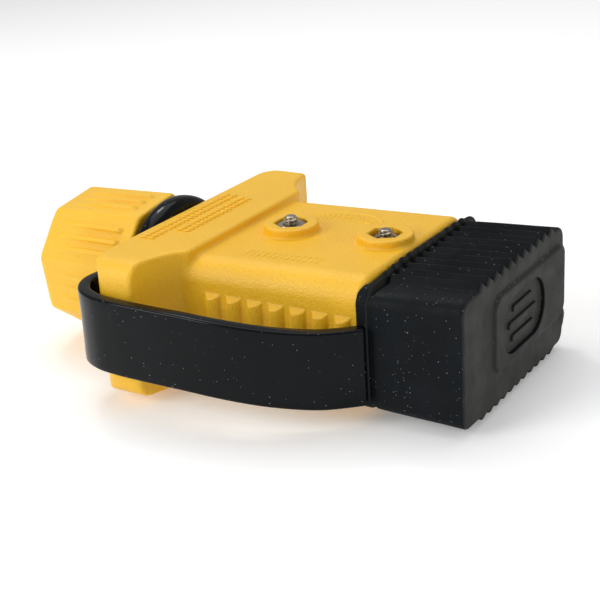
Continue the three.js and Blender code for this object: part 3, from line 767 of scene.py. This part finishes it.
def threaded_screw(name, x):
    angle = full_turn(36)
    shank, head = screw_shank(x, angle), screw_head(x, angle)
    recess_floor, head_top = SCREW.head_z + 1.0, SCREW.head_z + SCREW.head_height
    return capped_tubes(name, [(shank, np.array([(x, 0, shank[0][0, 2]), (x, 0, SCREW.tip_z)])),
                               (head, np.array([(x, 0, recess_floor), (x, 0, head_top)]))])


def hex_nut(name, x):
    """A hexagon nut with chamfered corners and a countersunk bore."""
    angle = full_turn(72)
    hexagonal = hexagon_radius(angle, NUT.across_flats / 2)
    low, high, bore = NUT.floor_z, NUT.floor_z + NUT.thickness, NUT.bore
    cone = NUT.across_flats / 2 - 0.1
    chamfer = (0.0, 0.12, 0.3, 0.55)
    rows = []
    for z in (*[low + rise for rise in chamfer], (low + high) / 2, *[high - drop for drop in chamfer[::-1]]):
        rows.append((z, np.minimum(hexagonal, cone + 1.75 * min(z - low, high - z))))
    rows += [(high, bore + 0.3), (high - 0.3, bore), (low + 0.3, bore), (low, bore + 0.3)]
    return closed_rings(name, [level_ring(x, r, angle, z) for z, r in rows])


def spring_washer(name, x):
    """A square-section ring, split and sprung a little out of flat."""
    sweep = np.linspace(6, 354, 72)
    rings = []
    for turn, rise in zip(np.radians(sweep), WASHER.spring * (sweep - sweep[0]) / (sweep[-1] - sweep[0])):
        low, high = WASHER.z + rise, WASHER.z + rise + WASHER.thickness
        corners = ((WASHER.inner, low), (WASHER.outer, low), (WASHER.outer, high), (WASHER.inner, high))
        rings.append(np.array([(x + r * math.cos(turn), r * math.sin(turn), z) for r, z in corners]))
    return capped_tubes(name, [(rings, np.array([rings[0].mean(0), rings[-1].mean(0)]))])


# ---------------- plain raised marks
def bead(line, radius):
    """Rings round one line of points, drawn in to a round end at both its ends, and its two tips."""
    around = np.radians(np.linspace(0, 360, 10, endpoint=False))
    up = np.array((0, 0, 1.0))
    tangent = np.gradient(line, axis=0)
    tangent /= np.linalg.norm(tangent, axis=1, keepdims=True)
    across = np.cross(tangent, up)

    def ring(i, degrees=0):
        turn = math.radians(degrees)
        centre, reach = line[i] + tangent[i] * radius * math.sin(turn), radius * math.cos(turn)
        return centre + reach * (np.cos(around)[:, None] * across[i] + np.sin(around)[:, None] * up)

    rings = [ring(0, -72), ring(0, -40), *map(ring, range(len(line))), ring(-1, 40), ring(-1, 72)]
    return rings, np.array([line[0] - tangent[0] * radius, line[-1] + tangent[-1] * radius])


def beads(name, lines, radius, sink):
    """Low rounded beads along lines of points; each bead's centre lies `sink` under the line."""
    return capped_tubes(name, [bead(np.asarray(line, float) - (0, 0, sink), radius) for line in lines])


def arc_points(centre_x, y_base, half_length, bulge, degrees):
    """Points of a flat arch that bulges towards +Y."""
    turn = np.radians(degrees)
    return [(centre_x - half_length * math.cos(t), y_base + bulge * math.sin(t)) for t in turn]


def on_body(points):
    """The same points, set on the sloping top of the body."""
    return [(x, y, MID_Z + float(body_top(x))) for x, y in points]


def short_bar(start, end):
    """Three points of a straight bar."""
    middle = ((start[0] + end[0]) / 2, (start[1] + end[1]) / 2)
    return [start, middle, end]


def body_marks():
    """An arch of plain hatching between the bosses, and a plain hatched row in front of them."""
    lines = [on_body(arc_points(25.0, 8.5, 9.2, 6.0, np.linspace(15, 165, 40)))]
    for inner, outer, count in (((6.2, 2.2), (7.0, 3.2), 12), ((7.0, 3.8), (7.8, 4.8), 15)):
        inside = arc_points(25.2, 8.0, *inner, np.linspace(20, 160, count))
        outside = arc_points(25.6, 8.0, *outer, np.linspace(20, 160, count))
        lines += [on_body(short_bar(*ends)) for ends in zip(inside, outside)]
    for x in np.arange(16.8, 33.6, 1.35):
        for near, far in ((-15.9, -14.9), (-14.1, -13.1)):
            lines.append(on_body(short_bar((x, near), (x + 0.45, far))))
    return beads("body_marks", lines, 0.32, 0.17)


def wing_marks():
    """Two double rows of plain hatching along the top of the wing."""
    top = 2 * WING.half_height
    bar_length, pitch, slant = 0.9, 1.5, 0.45
    long_row, short_row = (-18.5, 13.0), (-12.0, 12.0)
    lines = []
    for back, row in ((-6.0, long_row), (-4.3, long_row), (-1.7, short_row), (0.0, short_row)):
        for y in np.arange(*row, pitch):
            bar = short_bar((back, y), (back + bar_length, y + slant))
            lines.append([(x, across, top) for x, across in bar])
    return beads("wing_marks", lines, 0.34, 0.17)


# ---------------- materials
def fill(tree, made, inputs):
    """Sets a shader node's inputs, each to a value or to another node's output."""
    for key, value in inputs.items():
        if isinstance(value, bpy.types.NodeSocket):
            tree.links.new(value, made.inputs[key])
        else:
            made.inputs[key].default_value = value
    return made


def node(tree, kind, inputs):
    return fill(tree, tree.nodes.new(kind), inputs)


def noise(tree, coords, scale, detail=3.0, roughness=0.5):
    """Cloudy noise from 0 to 1, with `scale` features to the metre."""
    inputs = {"Vector": coords, "Scale": scale, "Detail": detail, "Roughness": roughness}
    return node(tree, "ShaderNodeTexNoise", inputs).outputs["Fac"]


def remap(tree, value, low, high, to_low=0.0, to_high=1.0):
    """The value's range from low to high spread over another range, and held inside it."""
    inputs = {0: value, 1: low, 2: high, 3: to_low, 4: to_high}
    return node(tree, "ShaderNodeMapRange", inputs).outputs[0]


def mixed(tree, share, first, second):
    return node(tree, "ShaderNodeMixRGB", {"Fac": share, "Color1": first, "Color2": second}).outputs[0]


def maths(tree, operation, a, b):
    made = node(tree, "ShaderNodeMath", {0: a, 1: b})
    made.operation = operation
    return made.outputs[0]


def specks(tree, coords, scale, size, kept):
    """A few small round dots: one in each Voronoi cell, of which only a share is kept."""
    cells = node(tree, "ShaderNodeTexVoronoi", {"Vector": coords, "Scale": scale})
    dot = remap(tree, cells.outputs["Distance"], size * 0.5, size, 1.0, 0.0)
    pick = node(tree, "ShaderNodeSeparateColor", {0: cells.outputs["Color"]}).outputs[0]
    chosen = remap(tree, pick, 1 - kept, 1 - kept + 0.01)
    return maths(tree, "MULTIPLY", dot, chosen)


def start_material(name):
    material = bpy.data.materials.new(name)
    material.use_nodes = True
    tree = material.node_tree
    shader = tree.nodes["Principled BSDF"]
    coords = node(tree, "ShaderNodeTexCoord", {}).outputs["Object"]
    return material, tree, shader, coords


def relief(tree, height, strength, distance):
    inputs = {"Height": height, "Strength": strength, "Distance": distance * MM}
    return node(tree, "ShaderNodeBump", inputs).outputs["Normal"]


def rgb(hexadecimal):
    """A colour given as seen on a screen, as linear light."""
    parts = [int(hexadecimal[i:i + 2], 16) / 255 for i in (0, 2, 4)]
    return (*[p / 12.92 if p <= 0.04045 else ((p + 0.055) / 1.055) ** 2.4 for p in parts], 1.0)


def yellow_nylon():
    """Moulded nylon with a fine spark-eroded grain, faint mottling and lighter scuffs."""
    material, tree, shader, coords = start_material("yellow_nylon")
    mottled = remap(tree, noise(tree, coords, 55, 2), 0.3, 0.7)
    base = mixed(tree, mottled, rgb("F0B80E"), rgb("F4BE16"))
    grain = noise(tree, coords, 2700, 2, 0.6)
    scuffs = remap(tree, noise(tree, coords, 420, 4, 0.7), 0.62, 0.75, 0.0, 0.18)
    soft = noise(tree, coords, 300, 2)
    height = maths(tree, "ADD", grain, maths(tree, "MULTIPLY", soft, 0.6))
    fill(tree, shader, {
        "Base Color": mixed(tree, scuffs, base, rgb("FBC93C")),
        "Roughness": remap(tree, grain, 0.3, 0.7, 0.33, 0.53),
        "Subsurface Weight": 0.12,
        "Subsurface Radius": (1.0, 0.55, 0.15),
        "Subsurface Scale": 0.0012,
        "Specular IOR Level": 0.62,
        "Normal": relief(tree, height, 1.0, 0.17),
    })
    return material


def black_rubber(name, dark, light, rough, dust, grain_scale, bump, specular, painted_end_light=None):
    """Moulded black rubber with a fine grain and white mould dust; faces that look along +X may be given a
    patchy painted lighter grey that stands in for the light the cap's end face catches.
    """
    material, tree, shader, coords = start_material(name)
    cloud = remap(tree, noise(tree, coords, 90, 3, 0.6), 0.3, 0.7)
    base = mixed(tree, cloud, rgb(dark), rgb(light))
    if painted_end_light:
        # painted light: faces turned towards +X are greyed, patchily, as if lit more strongly from that side
        facing = node(tree, "ShaderNodeTexCoord", {}).outputs["Normal"]
        forward = node(tree, "ShaderNodeSeparateXYZ", {0: facing}).outputs[0]
        end_light_share = remap(tree, forward, 0.35, 0.95)
        patchy = remap(tree, noise(tree, coords, 260, 4, 0.65), 0.25, 0.75, 0.6, 1.0)
        base = mixed(tree, maths(tree, "MULTIPLY", end_light_share, patchy), base, rgb(painted_end_light))
    fine = specks(tree, coords, 1700, 0.17, 0.11 * dust)
    big = specks(tree, coords, 620, 0.085, 0.07 * dust)
    clusters = remap(tree, noise(tree, coords, 70, 2), 0.4, 0.6, 0.25, 1.0)
    dots = maths(tree, "MULTIPLY", maths(tree, "MAXIMUM", fine, big), clusters)
    grain = noise(tree, coords, grain_scale, 3, 0.6)
    smear = remap(tree, noise(tree, coords, 150, 3, 0.65), 0.35, 0.7, *rough)
    height = maths(tree, "ADD", grain, maths(tree, "MULTIPLY", dots, 2.0))
    fill(tree, shader, {
        "Base Color": mixed(tree, maths(tree, "MULTIPLY", dots, 0.75), base, rgb("B9BABB")),
        "Roughness": maths(tree, "ADD", smear, maths(tree, "MULTIPLY", dots, 0.3)),
        "Specular IOR Level": specular,
        "Normal": relief(tree, height, bump, 0.04),
    })
    return material


def metal(name, tint, rough, scale, stretch):
    """Drawn or turned metal with faint marks along one direction and slight staining."""
    material, tree, shader, coords = start_material(name)
    mapped = node(tree, "ShaderNodeMapping", {"Vector": coords, "Scale": stretch}).outputs[0]
    marks = noise(tree, mapped, scale, 4, 0.6)
    stain = remap(tree, noise(tree, coords, 260, 3), 0.35, 0.7)
    fill(tree, shader, {
        "Base Color": mixed(tree, stain, rgb(tint[0]), rgb(tint[1])),
        "Roughness": remap(tree, marks, 0.25, 0.75, *rough),
        "Metallic": 1.0,
        "Normal": relief(tree, marks, 0.25, 0.02),
    })
    return material


def satin_plastic(name, dark, light, rough):
    """Moulded plastic with a faint cloud of two tones and a fine grain."""
    material, tree, shader, coords = start_material(name)
    cloud = remap(tree, noise(tree, coords, 120, 3), 0.3, 0.7)
    grain = noise(tree, coords, 2600, 3, 0.6)
    fill(tree, shader, {
        "Base Color": mixed(tree, cloud, rgb(dark), rgb(light)),
        "Roughness": remap(tree, grain, 0.3, 0.7, *rough),
        "Normal": relief(tree, grain, 0.4, 0.03),
    })
    return material


MATERIALS = {
    "yellow_nylon": yellow_nylon(),
    "grey_plastic": satin_plastic("grey_plastic", "77797C", "85888B", (0.38, 0.52)),
    "silver_plate": metal("silver_plate", ("D9D5CB", "C4BDAE"), (0.18, 0.36), 900, (1.0, 8.0, 8.0)),
    "spring_steel": metal("spring_steel", ("B5B4B0", "A19F9A"), (0.2, 0.35), 900, (1.0, 9.0, 9.0)),
    # the cap's end face gets a painted lighter grey that stands in for the light falling on it
    "cap_rubber": black_rubber("cap_rubber", "0A0E11", "101519", (0.5, 0.7), dust=2.4, grain_scale=2400,
                               bump=0.5, specular=0.11, painted_end_light="393A36"),
    "strap_rubber": black_rubber("strap_rubber", "080A0C", "0C0F11", (0.09, 0.18), dust=1.3,
                                 grain_scale=1800, bump=0.2, specular=0.135),
    "black_plastic": satin_plastic("black_plastic", "202124", "292A2D", (0.36, 0.5)),
    "seal_rubber": black_rubber("seal_rubber", "151617", "1C1D1E", (0.5, 0.66), dust=0.3,
                                grain_scale=2400, bump=0.4, specular=0.3),
    "stainless_steel": metal("stainless_steel", ("BDB5A7", "857A69"), (0.16, 0.32), 1400, (3.0, 3.0, 1.0)),
}


def dress(piece, body, slot, *nodes):
    """Gives a piece the material of its slot, ties it to its body and hides the CAD nodes it stands for."""
    piece.data.materials.append(MATERIALS[slot])
    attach(piece, body)
    if nodes:
        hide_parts(*nodes)
    return piece


# ---------------- the pieces
dress(shell(top=True), "root", "yellow_nylon", "upper_shell")
dress(shell(top=False), "root", "yellow_nylon", "lower_shell")
dress(body_marks(), "root", "yellow_nylon")
dress(wing_marks(), "root", "yellow_nylon")
dress(dust_cap(), "cap", "cap_rubber", "dust_cap")
dress(gland_nut(), "nut", "yellow_nylon", "gland_nut")
dress(strap_collar(), "root", "strap_rubber", "strap_collar")
dress(o_ring(), "root", "seal_rubber", "gland_o_ring")
seal = sleeve("gland_seal_sleeve", inner=5.9, outer=7.2, back=-32.5, front=-18, corner=0.4)
dress(seal, "root", "seal_rubber", "gland_seal")
ring = sleeve("gland_thrust_ring", inner=7.6, outer=9.6, back=-36, front=-33.8, corner=0.3)
dress(ring, "thrust", "black_plastic", "thrust_ring")
for place, (boss_x, _) in BOSSES.items():
    dress(threaded_screw(f"screw_{place}_threaded", boss_x), "root", "stainless_steel", f"screw_{place}")
    dress(hex_nut(f"nut_{place}_hex", boss_x), "root", "stainless_steel", f"nut_{place}")
    dress(spring_washer(f"washer_{place}_split", boss_x), "root", "stainless_steel", f"spring_washer_{place}")

strap = cap_strap()
strap.data.materials.append(MATERIALS["strap_rubber"])
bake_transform(strap)
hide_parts("cap_strap")

slots = {part["node"]: part["material_slot"] for part in frame["record"]["subparts"]}
KEPT_NODES = ("connector_housing", "contact_positive", "contact_negative", "contact_spring_positive",
              "contact_spring_negative", "gland_body", "gland_claw")
for name in KEPT_NODES:
    kept = frame["nodes"][name]
    kept.data.materials.clear()
    kept.data.materials.append(MATERIALS[slots[name]])
    bevel = kept.modifiers.new("edge", "BEVEL")
    bevel.width = (0.06 if "spring" in name else 0.2) * MM
    bevel.segments = 2
    bevel.limit_method = "ANGLE"
    bevel.angle_limit = math.radians(35)
    smooth = kept.modifiers.new("weighted", "WEIGHTED_NORMAL")
    smooth.keep_sharp = True


# ---------------- floor, light and backdrop
WHITE = (1.0, 1.0, 1.0, 1.0)


def floor():
    """A pale table that the plug leans on: it touches the collar and the lower shell's front boss."""
    (collar_x, collar_z), (boss_x, boss_z) = (-11.3, -2.0), (45.6, 0.0)
    clearance, reach = 0.02, 2500
    corners = np.array([(-reach, -reach), (reach, -reach), (reach, reach), (-reach, reach)])
    slope = (boss_z - collar_z) / (boss_x - collar_x)
    heights = collar_z + slope * (corners[:, 0] - collar_x) - clearance
    made = mesh_object("table", np.column_stack([corners, heights]), [np.array([[0, 1, 2, 3]])])
    material, tree, shader, coords = start_material("table_white")
    tint = mixed(tree, noise(tree, coords, 3, 2), rgb("F4F4F4"), rgb("F8F8F8"))
    fill(tree, shader, {"Base Color": tint, "Roughness": 0.85,
                        "Emission Color": WHITE, "Emission Strength": 0.2})
    made.data.materials.append(material)


def area_light(name, place, size, power):
    """A rectangular lamp aimed at the plug's middle; lengths are in metres and power is in watts."""
    data = bpy.data.lights.new(name, "AREA")
    data.shape = "RECTANGLE"
    data.size, data.size_y = size
    data.energy = power
    light = bpy.data.objects.new(name, data)
    light.location = place
    light.rotation_euler = (Vector((0.013, 0.0, 0.014)) - Vector(place)).to_track_quat("-Z", "Y").to_euler()
    bpy.context.scene.collection.objects.link(light)


floor()
area_light("overhead", (-0.10, 0.14, 0.60), (0.6, 0.5), 1.6)
area_light("highlight", (-0.28, 0.20, 0.48), (0.1, 0.1), 0.34)
area_light("left_front", (-0.32, -0.53, 0.30), (0.35, 0.35), 2.3)
area_light("right_fill", (0.6, -0.10, 0.28), (0.4, 0.4), 0.6)
world = bpy.data.worlds.new("studio")
world.use_nodes = True
fill(world.node_tree, world.node_tree.nodes["Background"], {"Color": WHITE, "Strength": 0.41})
bpy.context.scene.world = world
bpy.context.scene.view_settings.view_transform = "Standard"
